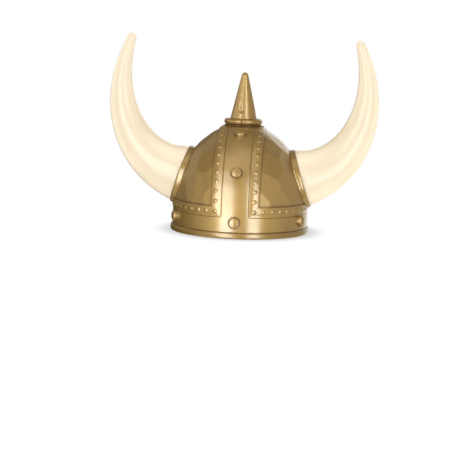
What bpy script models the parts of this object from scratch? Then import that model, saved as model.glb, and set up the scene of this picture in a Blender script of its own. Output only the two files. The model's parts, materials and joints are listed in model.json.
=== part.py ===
"""Costume viking helmet: a hollow plastic dome with bands, studded frames, rivets, horns and a spike.

Metres, +Z up. The origin is the middle of the rim's underside, so the helmet stands on z = 0.
The front faces -Y. Names with right are on the +X side, which is on the right as the front is looked at.
Run with: blender --background --python part.py
"""

import math
from collections import namedtuple

import bmesh
import bpy
from mathutils import Matrix, Vector

# ---------------------------------------------------------------- driving dimensions
GAP = 0.0003  # clearance between touching pieces

# Dome: a straight elliptical wall with half an ellipsoid on it.
DOME_HALF_WIDTH = 0.0761
DOME_HALF_DEPTH = 0.0917
DOME_RISE = 0.0955
SPRING_HEIGHT = 0.0264  # the height where the wall turns into the dome
WALL = 0.0024
AROUND = 36  # segments round the dome
UPWARDS = 10  # segments from the spring line to the crown

# Smooth band: a ring round the brow and a strap over the crown.
BAND_LEVEL = 0.0010  # how far its outer face stands out from the dome
BROW_LOW = 0.0070
BROW_HIGH = 0.0232
STRAP_HALF_WIDTH = 0.0149

# Studded frames: a strip along the strap and a strip above the brow, one D on each side.
FRAME_LEVEL = 0.0016
FRAME_INNER_X = 0.0265
FRAME_LOW = BROW_HIGH + GAP
FRAME_HIGH = 0.0358
BORDER = 0.0033  # width of the lower border along the frame's outer edge
CORNER_RADIUS = 0.0025
SHARP_RADIUS = 0.0005  # least radius of a corner

STUD_X = 0.0219
STUD_HEIGHT = 0.0300
STUD_RADIUS = 0.0019
STUD_RISE = 0.0011
STUD_PITCH = 0.01105
STUD_SIDES = 5
STUD_TOP = 0.45  # radius of its blunt top, as a share of STUD_RADIUS
STUD_PATH_STEPS = 400  # fineness of the paths that the studs are spaced along

# Rim bead.
BEAD_LEVEL = 0.00325
BEAD_HEIGHT = 0.0067
BEAD_FOOT = 0.0022  # outer edge of the flat underside, out from the dome

# Big rivets.
RIVET_RADIUS = 0.0054
RIVET_RISE = 0.0052
RIVET_SIDES = 12
RIVET_SHOULDER = 0.0014  # size of the slope between the side and the top
RIVET_CROWN = 0.0004  # how far the top rises to its middle
BROW_RIVET_HEIGHT = 0.0178
BROW_RIVET_ANGLES = (0, 64.5, 115.5, 180, 244.5, 295.5)
CREST_RIVET_HEIGHTS = (0.0718, 0.1122)

# Horn sockets and horns. The horn's base centre is the middle of the socket's outer face.
SOCKET_X = 0.0708
SOCKET_Z = 0.0627
SOCKET_HEADING = 18.0  # degrees that the socket's axis rises from the side
SOCKET_RADIUS = 0.0344
SOCKET_REACH = 0.022  # length of the blank behind its outer face, before the dome trims it
SOCKET_ROUND = 0.0024  # depth of its rounded outer edge
SOCKET_LIP = 0.0006  # width of the flat lip next to the horn
SOCKET_SIDES = 28

HORN_HEADING = 13.0  # degrees that the horn itself rises at its base
HORN_TURN = (138.5, -41.3)  # degrees that it turns up along its length: linear and squared terms
HORN_SWEEP = 0.0070  # how far the tip stands forward of the base
HORN_LENGTH = 0.1860  # along its middle, to the centre of the round tip
HORN_BASE_RADIUS = 0.0319
HORN_TIP_RADIUS = 0.0053
HORN_STRAIGHT = 0.0040  # length at the base before it starts to taper
HORN_TAPER = 0.84
HORN_WALL = 0.0018
HORN_TENON = 0.0026  # depth held inside the socket
HORN_OVERRUN = 0.0090  # extra length at the base, cut off square to the socket
HORN_STATIONS = 15
HORN_ROUNDING = (35, 65, 85)  # degrees round the tip's quarter circle

# Collar and spike.
COLLAR_RADIUS = 0.0184  # to the middle of its round bead
COLLAR_BEAD = 0.0036
COLLAR_HEIGHT = 0.1250
COLLAR_SEAT = 0.1272
COLLAR_NECK = 0.0148  # radius of the hollow below it that clears the band
COLLAR_SIDES = 28
SPIKE_BASE_RADIUS = 0.0150
SPIKE_TIP_RADIUS = 0.0039
SPIKE_LOW = 0.1275
SPIKE_HIGH = 0.1806
SPIKE_SIDES = 24
FLUTES = 4
FluteEnd = namedtuple("FluteEnd", "height radius depth")
FLUTE_ENDS = (FluteEnd(0.1385, 0.0042, 0.0013), FluteEnd(0.1680, 0.0022, 0.0002))

FAR = 0.2  # cutters reach this far past the helmet

# Flat facets of the side panels: degrees round from the front, height and depth in millimetres.
Facet = namedtuple("Facet", "around height depth")
FRONT_RIGHT_FACETS = (
    Facet(50, 99, 1.0),
    Facet(38, 80, 1.4),
    Facet(31, 57, 1.3),
    Facet(55, 57, 1.4),
    Facet(23, 43, 0.8),
    Facet(41, 39, 1.1),
    Facet(62, 82, 1.2),
    Facet(68, 104, 0.6),
    Facet(90, 107, 0.4),
)
FRONT_LEFT_FACETS = (
    Facet(44, 100, 1.0),
    Facet(36, 82, 1.3),
    Facet(34, 57, 1.3),
    Facet(25, 66, 0.8),
    Facet(24, 43, 0.9),
    Facet(33, 38, 0.9),
    Facet(47, 53, 1.3),
    Facet(57, 42, 1.2),
    Facet(56, 77, 1.2),
    Facet(68, 104, 0.8),
)


# ---------------------------------------------------------------- scene helpers
def clear_scene():
    for leftover in list(bpy.data.objects):
        bpy.data.objects.remove(leftover)


def new_collection(name):
    collection = bpy.data.collections.new(name)
    bpy.context.scene.collection.children.link(collection)
    return collection


def new_material(name, color, roughness, metallic):
    material = bpy.data.materials.new(name)
    material.use_nodes = True
    shader = material.node_tree.nodes["Principled BSDF"]
    shader.inputs["Base Color"].default_value = (*color, 1.0)
    shader.inputs["Roughness"].default_value = roughness
    shader.inputs["Metallic"].default_value = metallic
    return material


clear_scene()
PIECES = new_collection("viking_helmet")
CUTTERS = new_collection("cutters")
HELMET = bpy.data.objects.new("viking_helmet", None)
PIECES.objects.link(HELMET)
GOLD = (0.42, 0.29, 0.13)
CREAM = (0.86, 0.77, 0.60)


def from_bmesh(name, shape, collection):
    """Turn a closed bmesh into an object whose faces point outwards."""
    bmesh.ops.recalc_face_normals(shape, faces=shape.faces)
    mesh = bpy.data.meshes.new(name)
    shape.to_mesh(mesh)
    shape.free()
    placed = bpy.data.objects.new(name, mesh)
    collection.objects.link(placed)
    return placed


def as_cutter(shape):
    shape.hide_render = True
    shape.display_type = "WIRE"
    return shape


def cutter_from(name, shape):
    return as_cutter(from_bmesh(name, shape, CUTTERS))


def boolean(piece, operation, other):
    modifier = piece.modifiers.new(operation.title() + " " + other.name, "BOOLEAN")
    modifier.operation = operation
    modifier.object = other
    modifier.solver = "EXACT"


def finish(piece, color=GOLD, roughness=0.35, metallic=0.8):
    """Give a piece its own material, smooth shading and the helmet's empty as its parent."""
    piece.data.materials.clear()
    piece.data.materials.append(new_material(piece.name, color, roughness, metallic))
    piece.data.shade_smooth()
    piece.data.set_sharp_from_angle(angle=math.radians(30))
    piece.parent = HELMET
    return piece


def curve_to_mesh(curve_object, name, collection):
    """Replace a filled curve by the closed mesh that it draws."""
    bpy.context.view_layer.update()
    graph = bpy.context.evaluated_depsgraph_get()
    mesh = bpy.data.meshes.new_from_object(curve_object.evaluated_get(graph))
    shape = bmesh.new()
    shape.from_mesh(mesh)
    bmesh.ops.remove_doubles(shape, verts=shape.verts, dist=1e-6)
    bpy.data.meshes.remove(mesh)
    place = curve_object.matrix_world.copy()
    bpy.data.objects.remove(curve_object)
    placed = from_bmesh(name, shape, collection)
    placed.matrix_world = place
    return placed


# ---------------------------------------------------------------- shapes on the dome
def dome_radii(level):
    """Half width, half depth and rise of the dome grown outwards by level."""
    return DOME_HALF_WIDTH + level, DOME_HALF_DEPTH + level, DOME_RISE + level


def dome_point(around, height, level=0.0):
    """Point of the grown dome at an angle round from the front, in degrees, and a height."""
    half_width, half_depth, rise = dome_radii(level)
    shrink = 1.0
    if height > SPRING_HEIGHT:
        shrink = math.sqrt(1 - ((height - SPRING_HEIGHT) / rise) ** 2)
    angle = math.radians(around)
    x = half_width * shrink * math.sin(angle)
    y = -half_depth * shrink * math.cos(angle)
    return Vector((x, y, height))


def dome_normal(point):
    """Outward direction of the dome at a point on it or just off it."""
    lift = max(0.0, point.z - SPRING_HEIGHT) / DOME_RISE**2
    return Vector((point.x / DOME_HALF_WIDTH**2, point.y / DOME_HALF_DEPTH**2, lift)).normalized()


def dome_bmesh(level, floor):
    """Closed solid dome grown by level, with its straight wall reaching down to floor."""
    shape = bmesh.new()
    bmesh.ops.create_uvsphere(shape, u_segments=AROUND, v_segments=2 * UPWARDS, radius=1.0)
    lower = [vert for vert in shape.verts if vert.co.z < -1e-4]
    bmesh.ops.delete(shape, geom=lower, context="VERTS")
    bmesh.ops.scale(shape, vec=dome_radii(level), verts=shape.verts)
    bmesh.ops.translate(shape, vec=(0, 0, SPRING_HEIGHT), verts=shape.verts)
    rim = [edge for edge in shape.edges if edge.is_boundary]
    wall = bmesh.ops.extrude_edge_only(shape, edges=rim)["geom"]
    for vert in (item for item in wall if isinstance(item, bmesh.types.BMVert)):
        vert.co.z = floor
    bmesh.ops.holes_fill(shape, edges=[edge for edge in shape.edges if edge.is_boundary])
    return shape


def cut_facets(shape, level):
    """Slice the flat hammered facets off a dome grown by level. The back repeats the front, turned."""
    for side, facets in ((1, FRONT_RIGHT_FACETS), (-1, FRONT_LEFT_FACETS)):
        for half_turn in (0, 180):
            for facet in facets:
                around = side * facet.around + half_turn
                point = dome_point(around, facet.height * 0.001)
                normal = dome_normal(point)
                cut = bmesh.ops.bisect_plane(
                    shape,
                    geom=shape.verts[:] + shape.edges[:] + shape.faces[:],
                    plane_co=point + normal * (level - facet.depth * 0.001),
                    plane_no=normal,
                    clear_outer=True,
                )["geom_cut"]
                edges = [item for item in cut if isinstance(item, bmesh.types.BMEdge)]
                bmesh.ops.contextual_create(shape, geom=edges)


def arc(centre, radii, start, end, steps):
    """Points along an elliptical arc, from start to end in degrees."""
    angles = [math.radians(start + (end - start) * step / steps) for step in range(steps + 1)]
    across = [centre[0] + radii[0] * math.cos(angle) for angle in angles]
    up = [centre[1] + radii[1] * math.sin(angle) for angle in angles]
    return list(zip(across, up))


def front_prism(name, outline):
    """Closed prism along Y through the whole helmet, from an outline of (x, z) points."""
    curve = bpy.data.curves.new(name, "CURVE")
    curve.dimensions = "2D"
    curve.fill_mode = "BOTH"
    curve.extrude = FAR
    spline = curve.splines.new("POLY")
    spline.points.add(len(outline) - 1)
    for point, (x, z) in zip(spline.points, outline):
        point.co = (x, z, 0, 1)
    spline.use_cyclic_u = True
    flat = bpy.data.objects.new(name, curve)
    CUTTERS.objects.link(flat)
    flat.rotation_euler.x = math.radians(90)
    return as_cutter(curve_to_mesh(flat, name, CUTTERS))


def frame_outline(side, grow=0.0, border=0.0):
    """Outline of one frame, seen from the front: grown all round, or drawn in by a border outside."""
    low_x = STRAP_HALF_WIDTH + GAP - grow + border
    low_z = FRAME_LOW - grow + border
    radius = max(CORNER_RADIUS - border, SHARP_RADIUS)
    points = arc((low_x + radius, low_z + radius), (radius, radius), 180, 270, 3)
    points += [(FAR, low_z), (FAR, FRAME_HIGH + grow)]
    points += [(FRAME_INNER_X + grow, FRAME_HIGH + grow), (FRAME_INNER_X + grow, FAR), (low_x, FAR)]
    return [(side * x, z) for x, z in points]


# ---------------------------------------------------------------- the dome's pieces
def make_shell():
    outer = dome_bmesh(0.0, GAP)
    cut_facets(outer, 0.0)
    shell = from_bmesh("shell", outer, PIECES)
    boolean(shell, "DIFFERENCE", cutter_from("shell_cavity", dome_bmesh(-WALL, -FAR)))
    return finish(shell)


def make_band(inside):
    band = from_bmesh("band", dome_bmesh(BAND_LEVEL, BROW_LOW), PIECES)
    low = BROW_HIGH
    corner = CORNER_RADIUS + GAP
    right = [(FAR, -FAR), (FAR, low)]
    right += arc((STRAP_HALF_WIDTH + corner, low + corner), (corner, corner), 270, 180, 3)
    right += [(STRAP_HALF_WIDTH, FAR)]
    left = [(-x, z) for x, z in reversed(right)]
    boolean(band, "DIFFERENCE", inside)
    boolean(band, "INTERSECT", front_prism("band_outline", right + left))
    return finish(band)


def stud_places(side):
    """Points along one frame where its studs stand, and the length of arc between the two lower corners."""
    over_crown = []
    half_width, half_depth, rise = dome_radii(FRAME_LEVEL)
    shrink = math.sqrt(1 - (STUD_X / half_width) ** 2)
    steps = STUD_PATH_STEPS
    lowest = math.asin((STUD_HEIGHT - SPRING_HEIGHT) / (rise * shrink))
    for step in range(steps + 1):
        angle = lowest + (math.pi - 2 * lowest) * step / steps
        y = -half_depth * shrink * math.cos(angle)
        over_crown.append(Vector((side * STUD_X, y, SPRING_HEIGHT + rise * shrink * math.sin(angle))))
    corner = math.degrees(math.asin(STUD_X / (half_width * math.cos(lowest))))
    round_side = [
        dome_point(side * (corner + (180 - 2 * corner) * step / steps), STUD_HEIGHT, FRAME_LEVEL)
        for step in range(steps + 1)
    ]
    return spaced(over_crown, True) + spaced(round_side, False)


def spaced(path, with_ends):
    """Points at an even pitch along a path, with or without its two ends."""
    lengths = [0.0]
    for before, after in zip(path, path[1:]):
        lengths.append(lengths[-1] + (after - before).length)
    count = round(lengths[-1] / STUD_PITCH)
    wanted = range(count + 1) if with_ends else range(1, count)
    places = []
    for number in wanted:
        target = lengths[-1] * number / count
        nearest = min(range(len(path)), key=lambda index: abs(lengths[index] - target))
        places.append(path[nearest])
    return places


def under_socket(point, margin):
    """Whether a point of the dome lies under a horn's socket."""
    heading = math.radians(SOCKET_HEADING)
    offset = Vector((abs(point.x) - SOCKET_X, point.y, point.z - SOCKET_Z))
    across = offset.z * math.cos(heading) - offset.x * math.sin(heading)
    return abs(point.x) > FRAME_INNER_X and math.hypot(across, offset.y) < SOCKET_RADIUS + margin


def make_studs(name, side):
    """All the studs of one frame as separate blunt cones in one mesh, to be joined to it."""
    shape = bmesh.new()
    depth = STUD_RISE + 2 * GAP
    for place in stud_places(side):
        if under_socket(place, STUD_RADIUS + GAP):
            continue
        normal = dome_normal(place)
        turn = normal.to_track_quat("Z", "Y").to_matrix().to_4x4()
        centre = place + normal * (STUD_RISE - depth / 2)
        bmesh.ops.create_cone(
            shape,
            cap_ends=True,
            segments=STUD_SIDES,
            radius1=STUD_RADIUS,
            radius2=STUD_RADIUS * STUD_TOP,
            depth=depth,
            matrix=Matrix.Translation(centre) @ turn,
        )
    return cutter_from(name, shape)


def make_frame(side_name, side, inside, above_border):
    frame = from_bmesh("frame_" + side_name, dome_bmesh(FRAME_LEVEL, BROW_LOW), PIECES)
    border = front_prism("border_" + side_name, frame_outline(side, grow=2 * GAP))
    boolean(border, "DIFFERENCE", front_prism("field_" + side_name, frame_outline(side, border=BORDER)))
    boolean(border, "DIFFERENCE", above_border)
    boolean(frame, "DIFFERENCE", inside)
    boolean(frame, "INTERSECT", front_prism("outline_" + side_name, frame_outline(side)))
    boolean(frame, "DIFFERENCE", border)
    boolean(frame, "UNION", make_studs("studs_" + side_name, side))
    return finish(frame)


def loft_rings(name, profile):
    """Closed ring round the dome, from a closed profile of (level, height) points."""
    shape = bmesh.new()
    bmesh.ops.create_circle(shape, segments=AROUND, radius=1.0)
    edges = shape.edges[:]
    radii = (1.0, 1.0)
    for number, (level, height) in enumerate(profile + profile[:1]):
        if number:
            extruded = bmesh.ops.extrude_edge_only(shape, edges=edges)["geom"]
            edges = [item for item in extruded if isinstance(item, bmesh.types.BMEdge)]
        ring = {vert for edge in edges for vert in edge.verts}
        for vert in ring:
            vert.co.x *= dome_radii(level)[0] / radii[0]
            vert.co.y *= dome_radii(level)[1] / radii[1]
            vert.co.z = height
        radii = dome_radii(level)
    bmesh.ops.remove_doubles(shape, verts=shape.verts, dist=1e-6)
    return from_bmesh(name, shape, PIECES)


def make_rim_bead():
    middle = BEAD_HEIGHT / 2
    outside = arc((BEAD_FOOT, middle), (BEAD_LEVEL - BEAD_FOOT, middle), -90, 90, 4)
    return finish(loft_rings("rim_bead", [(GAP, 0.0)] + outside + [(GAP, BEAD_HEIGHT)]))


def turned(name, profile, steps, collection):
    """Solid turned about Z from a profile of (radius, height) points, its outer side running down."""
    mesh = bpy.data.meshes.new(name)
    count = len(profile)
    on_axis = profile[0][0] == 0
    edges = [(index, index + 1) for index in range(count - 1)]
    if not on_axis:
        edges.append((count - 1, 0))
    mesh.from_pydata([(radius, 0, height) for radius, height in profile], edges, [])
    placed = bpy.data.objects.new(name, mesh)
    collection.objects.link(placed)
    screw = placed.modifiers.new("Turn", "SCREW")
    screw.steps = steps
    screw.render_steps = steps
    screw.use_merge_vertices = True
    screw.merge_threshold = 1e-6
    return placed


def make_rivet(name, point):
    """Button-shaped rivet head standing on the smooth band."""
    top = RIVET_RISE - RIVET_CROWN
    profile = [(0, RIVET_RISE), (RIVET_RADIUS - RIVET_SHOULDER, top), (RIVET_RADIUS, top - RIVET_SHOULDER)]
    profile += [(RIVET_RADIUS, 0), (0, 0)]
    rivet = turned(name, profile, RIVET_SIDES, PIECES)
    normal = dome_normal(point)
    rivet.rotation_euler = normal.to_track_quat("Z", "Y").to_euler()
    rivet.location = point + normal * GAP
    return finish(rivet)


def make_rivets():
    for number, around in enumerate(BROW_RIVET_ANGLES, start=1):
        make_rivet(f"rivet_brow_{number}", dome_point(around, BROW_RIVET_HEIGHT, BAND_LEVEL))
    crest = [(0, height) for height in CREST_RIVET_HEIGHTS]
    crest += [(180, height) for height in reversed(CREST_RIVET_HEIGHTS)]
    for number, (around, height) in enumerate(crest, start=1):
        make_rivet(f"rivet_crest_{number}", dome_point(around, height, BAND_LEVEL))


# ---------------------------------------------------------------- sockets and horns
def make_socket(side_name, side, dome_clearance, frame_clearance):
    """Ring with a rounded outer edge, trimmed to follow the dome and the frame below it."""
    inner = HORN_BASE_RADIUS + 2 * GAP
    lip = inner + SOCKET_LIP
    rounding = arc((lip, -SOCKET_ROUND), (SOCKET_RADIUS - lip, SOCKET_ROUND), 90, 0, 3)
    profile = [(inner, 0.0)] + rounding + [(SOCKET_RADIUS, -SOCKET_REACH), (inner, -SOCKET_REACH)]
    socket = turned("socket_" + side_name, profile, SOCKET_SIDES, PIECES)
    socket.rotation_euler.y = side * math.radians(90 - SOCKET_HEADING)
    socket.location = (side * SOCKET_X, 0, SOCKET_Z)
    boolean(socket, "DIFFERENCE", dome_clearance)
    boolean(socket, "DIFFERENCE", frame_clearance)
    return finish(socket)


def horn_stations(wall, overrun):
    """Centres and radii along the right horn, from an overrun behind its base to its round tip."""
    linear, squared = HORN_TURN
    step = (HORN_LENGTH + overrun) / HORN_STATIONS
    heading = math.radians(HORN_HEADING)
    base_axis = Vector((math.cos(heading), 0, math.sin(heading)))
    centre = Vector((SOCKET_X, 0, SOCKET_Z)) - overrun * base_axis
    stations = []
    for number in range(HORN_STATIONS + 1):
        length = number * step - overrun
        share = max(0.0, (length - HORN_STRAIGHT) / (HORN_LENGTH - HORN_STRAIGHT))
        radius = HORN_TIP_RADIUS + (HORN_BASE_RADIUS - HORN_TIP_RADIUS) * (1 - share**HORN_TAPER)
        forward = HORN_SWEEP * max(0.0, length / HORN_LENGTH) ** 2
        stations.append((centre - Vector((0, forward, 0)), radius - wall))
        halfway = max(0.0, (length + step / 2) / HORN_LENGTH)
        heading = math.radians(HORN_HEADING + linear * halfway + squared * halfway**2)
        centre += step * Vector((math.cos(heading), 0, math.sin(heading)))
    direction = (stations[-1][0] - stations[-2][0]).normalized()
    tip_centre, tip_radius = stations[-1]
    for lean in HORN_ROUNDING:
        angle = math.radians(lean)
        centre = tip_centre + direction * tip_radius * math.sin(angle)
        stations.append((centre, tip_radius * math.cos(angle)))
    return stations


def horn_solid(name, side, wall, overrun, collection):
    """Closed tapering tube along one horn."""
    curve = bpy.data.curves.new(name, "CURVE")
    curve.dimensions = "3D"
    curve.bevel_depth = 1.0
    curve.bevel_resolution = 6
    curve.use_fill_caps = True
    stations = horn_stations(wall, overrun)
    spline = curve.splines.new("POLY")
    spline.points.add(len(stations) - 1)
    for point, (centre, radius) in zip(spline.points, stations):
        point.co = (side * centre.x, centre.y, centre.z, 1)
        point.radius = radius
    tube = bpy.data.objects.new(name, curve)
    collection.objects.link(tube)
    return curve_to_mesh(tube, name, collection)


def trim_square(piece, side):
    """Cut a horn off square to its socket, at the depth that the socket holds."""
    heading = math.radians(SOCKET_HEADING)
    axis = Vector((side * math.cos(heading), 0, math.sin(heading)))
    shape = bmesh.new()
    shape.from_mesh(piece.data)
    cut = bmesh.ops.bisect_plane(
        shape,
        geom=shape.verts[:] + shape.edges[:] + shape.faces[:],
        plane_co=Vector((side * SOCKET_X, 0, SOCKET_Z)) - axis * HORN_TENON,
        plane_no=axis,
        clear_inner=True,
    )["geom_cut"]
    bmesh.ops.contextual_create(shape, geom=[item for item in cut if isinstance(item, bmesh.types.BMEdge)])
    shape.to_mesh(piece.data)
    shape.free()


def make_horn(side_name, side):
    horn = horn_solid("horn_" + side_name, side, 0.0, HORN_OVERRUN, PIECES)
    trim_square(horn, side)
    hollow = as_cutter(horn_solid("horn_hollow_" + side_name, side, HORN_WALL, 2 * HORN_OVERRUN, CUTTERS))
    boolean(horn, "DIFFERENCE", hollow)
    return finish(horn, CREAM, roughness=0.3, metallic=0.0)


# ---------------------------------------------------------------- collar and spike
def make_collar():
    """Round bead with a disc across it for the spike, hollowed below to clear the band."""
    seat_turn = 180 - math.degrees(math.asin((COLLAR_SEAT - COLLAR_HEIGHT) / COLLAR_BEAD))
    bead = arc((COLLAR_RADIUS, COLLAR_HEIGHT), (COLLAR_BEAD, COLLAR_BEAD), seat_turn, -110, 8)
    under = DOME_RISE + SPRING_HEIGHT + BAND_LEVEL + 2 * GAP
    profile = [(0, COLLAR_SEAT)] + bead + [(COLLAR_NECK, under), (0, under)]
    return finish(turned("collar", profile, COLLAR_SIDES, PIECES))


def make_spike():
    slope = math.atan((SPIKE_BASE_RADIUS - SPIKE_TIP_RADIUS) / (SPIKE_HIGH - SPIKE_LOW))
    lean = math.degrees(slope)
    tip = arc((0, SPIKE_HIGH - SPIKE_TIP_RADIUS), (SPIKE_TIP_RADIUS, SPIKE_TIP_RADIUS), 90, lean, 4)
    profile = [(0, tip[0][1])] + tip[1:] + [(SPIKE_BASE_RADIUS, SPIKE_LOW), (0, SPIKE_LOW)]
    spike = turned("spike", profile, SPIKE_SIDES, PIECES)
    boolean(spike, "DIFFERENCE", make_flutes(slope))
    return finish(spike)


def make_flutes(slope):
    """Tapered rods with a round lower end, sunk a little into the sides of the cone."""
    ball = bmesh.new()
    bmesh.ops.create_uvsphere(ball, u_segments=12, v_segments=6, radius=1.0)
    shape = bmesh.new()
    for number in range(FLUTES):
        turn = Matrix.Rotation(2 * math.pi * number / FLUTES, 4, "Z")
        points = []
        for end in FLUTE_ENDS:
            surface = SPIKE_BASE_RADIUS - (end.height - SPIKE_LOW) * math.tan(slope)
            centre = Vector((0, -(surface + end.radius - end.depth), end.height))
            points += [shape.verts.new(turn @ (centre + vert.co * end.radius)) for vert in ball.verts]
        hull = bmesh.ops.convex_hull(shape, input=points)
        inner = {item for item in hull["geom_interior"] if isinstance(item, bmesh.types.BMVert)}
        bmesh.ops.delete(shape, geom=list(inner), context="VERTS")
    ball.free()
    return cutter_from("flutes", shape)


# ---------------------------------------------------------------- the whole helmet
def make_helmet():
    make_shell()
    under_skins = cutter_from("under_skins", dome_bmesh(GAP, -FAR))
    above_border = cutter_from("above_border", dome_bmesh(BAND_LEVEL, -FAR))
    faceted = dome_bmesh(GAP, -FAR)
    cut_facets(faceted, GAP)
    dome_clearance = cutter_from("dome_clearance", faceted)
    make_band(under_skins)
    make_rim_bead()
    make_rivets()
    for side_name, side in (("right", 1), ("left", -1)):
        make_frame(side_name, side, under_skins, above_border)
        grown = dome_bmesh(FRAME_LEVEL + GAP, -FAR)
        frame_clearance = cutter_from("frame_clearance_" + side_name, grown)
        outline = front_prism("frame_clearance_outline_" + side_name, frame_outline(side, grow=GAP))
        boolean(frame_clearance, "INTERSECT", outline)
        make_socket(side_name, side, dome_clearance, frame_clearance)
        make_horn(side_name, side)
    make_collar()
    make_spike()


make_helmet()
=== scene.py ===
"""Looks of the viking helmet: moulded gold plastic, cream horns and a pale studio round it."""

import json
from math import asin, atan, atan2, cos, degrees, exp, hypot, pi, radians, sin, sqrt

import bmesh
import bpy
from mathutils import Matrix, Quaternion, Vector

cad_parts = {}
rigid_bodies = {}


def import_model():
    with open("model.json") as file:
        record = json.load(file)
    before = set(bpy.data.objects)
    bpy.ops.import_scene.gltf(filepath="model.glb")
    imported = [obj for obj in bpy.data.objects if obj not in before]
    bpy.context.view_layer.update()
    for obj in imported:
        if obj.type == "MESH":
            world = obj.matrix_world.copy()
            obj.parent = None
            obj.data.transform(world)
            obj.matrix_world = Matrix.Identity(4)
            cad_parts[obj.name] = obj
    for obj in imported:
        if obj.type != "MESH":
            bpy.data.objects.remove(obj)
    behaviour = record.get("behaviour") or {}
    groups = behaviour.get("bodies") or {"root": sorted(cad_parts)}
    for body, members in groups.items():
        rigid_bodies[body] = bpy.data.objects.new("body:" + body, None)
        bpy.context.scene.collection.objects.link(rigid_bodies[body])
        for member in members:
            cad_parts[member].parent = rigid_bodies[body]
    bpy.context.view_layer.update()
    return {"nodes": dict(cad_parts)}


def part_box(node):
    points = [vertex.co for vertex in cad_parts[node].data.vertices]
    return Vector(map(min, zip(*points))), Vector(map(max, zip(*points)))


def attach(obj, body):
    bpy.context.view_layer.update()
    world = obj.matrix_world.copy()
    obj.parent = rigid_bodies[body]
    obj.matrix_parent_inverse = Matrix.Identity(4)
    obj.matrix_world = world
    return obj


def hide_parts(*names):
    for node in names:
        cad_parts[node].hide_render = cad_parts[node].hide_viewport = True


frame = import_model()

bl_info = {
    "name": "Viking Helmet",
    "version": (1, 0, 0),
    "blender": (4, 5, 0),
    "location": "View3D > Sidebar > Helmet",
    "description": "Builds a horned costume helmet of gold and cream plastic, and its studio",
    "category": "Add Mesh",
}

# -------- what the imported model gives
SHELL_LOW, SHELL_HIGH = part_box("shell")
BAND_LOW, BAND_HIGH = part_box("band")
FRAME_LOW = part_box("frame_right")[0]
BEAD_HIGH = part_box("rim_bead")[1]
COLLAR_LOW, COLLAR_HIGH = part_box("collar")
SPIKE_LOW, SPIKE_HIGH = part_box("spike")

# -------- fixed proportions, in metres
MERGE = 2e-6  # points nearer than this become one
TINY = 1e-9
SHARP_ANGLE = 40  # degrees from which an edge stays sharp
CUT_SHARP_ANGLE = 35  # the same for the band, whose grooves are cut
ROUND_SHARP_ANGLE = 50  # the same for the beads
GAP = 0.0003  # between the smooth band and the studded frames
SOFT_EDGE = 0.0004  # radius of the moulded edges
STRAP_COLUMNS = 24
BROW_ROWS = 10
CROWN_STEPS = 150  # along the crown, from the front corner to the back one
SIDE_STEPS = 130  # round the side, from one corner to the other
CORNER_STEPS = 8
SIDES = (("right", 1), ("left", -1))

FRAME_INNER_X = 0.0265  # of the inner edge beside the strap
FRAME_TOP = 0.0358  # height of the inner edge above the brow
CORNER_RADIUS = 0.0025  # of a frame's outer corners
SHARP_RADIUS = 0.0003  # of the corners inside them
STUD_X = 0.0219  # of the studs beside the strap
STUD_HEIGHT = 0.0300  # of the studs above the brow
STUD_PITCH = 0.01105
STUD_LINE_STEPS = 200
SEARCH_REACH = 0.0400  # how far the search for the dome's face goes
SEARCH_STEPS = 30  # each halves what is left of it
MOAT_WIDTH = 0.0012  # of the groove round each large rivet
MOAT_DEPTH = 0.0006

SOCKET_CENTRE = Vector((0.0708, 0, 0.0627))  # middle of the right socket's mouth
SOCKET_HEADING = radians(18.0)  # how far the socket points up
SOCKET_RADIUS = 0.0344
HORN_TENON = 0.0026  # how deep a horn stands in its socket
HORN_HEADING = 13.0  # degrees that a horn points up at its base
HORN_TURN = (138.5, -41.3)  # degrees that it turns up along its length: linear and squared terms
HORN_SWEEP = 0.0070  # how far its tip leans forward
HORN_STRAIGHT = 0.0040  # length before it begins to taper
HORN_TAPER = 0.84  # power of the share of the length, by which it tapers
HORN_WALL = 0.0018
HORN_OVERRUN = 0.0120  # how far it is drawn back into the socket, before its base is cut level

# The flat facets in the front half of each panel: degrees off the front, height and depth in mm.
FRONT_RIGHT_FACETS = (
    (50, 99, 1.0), (38, 80, 1.4), (31, 57, 1.3), (55, 57, 1.4), (23, 43, 0.8),
    (41, 39, 1.1), (62, 82, 1.2), (68, 104, 0.6), (90, 107, 0.4),
)
FRONT_LEFT_FACETS = (
    (44, 100, 1.0), (36, 82, 1.3), (34, 57, 1.3), (25, 66, 0.8), (24, 43, 0.9),
    (33, 38, 0.9), (47, 53, 1.3), (57, 42, 1.2), (56, 77, 1.2), (68, 104, 0.8),
)


def length(label, text, default):
    return bpy.props.FloatProperty(name=label, description=text, default=default, unit="LENGTH")


def colour(label, text, default):
    return bpy.props.FloatVectorProperty(
        name=label, description=text, default=default, size=3, min=0, max=1, subtype="COLOR"
    )


class HelmetSizes(bpy.types.PropertyGroup):
    """Sizes of the helmet's own pieces."""

    half_width: length("Half width", "Half the dome's width, from horn to horn", SHELL_HIGH.x)
    half_depth: length("Half depth", "Half the dome's depth, from front to back", SHELL_HIGH.y)
    crown: length("Crown height", "Height of the dome's top", SHELL_HIGH.z)
    spring: length("Spring height", "Height where the upright wall turns into the dome", 0.0264)
    wall: length("Wall", "Thickness of the plastic", 0.0024)
    band_level: length("Band level", "How far the band stands out", BAND_HIGH.x - SHELL_HIGH.x)
    frame_level: length("Frame level", "How far the studded frames stand out", 0.0016)
    stud_radius: length("Stud radius", "Radius of a small stud", 0.0025)
    stud_rise: length("Stud rise", "Height of a small stud", 0.0009)
    rivet_radius: length("Rivet radius", "Radius of a large rivet's head", 0.0058)
    rivet_rise: length("Rivet rise", "Height of a large rivet's head", 0.0050)
    horn_length: length("Horn length", "Length of a horn along its middle", 0.1860)
    horn_base: length("Horn base radius", "Radius of a horn at its socket", 0.0319)
    horn_tip: length("Horn tip radius", "Radius of a horn's round tip", 0.0053)


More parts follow.
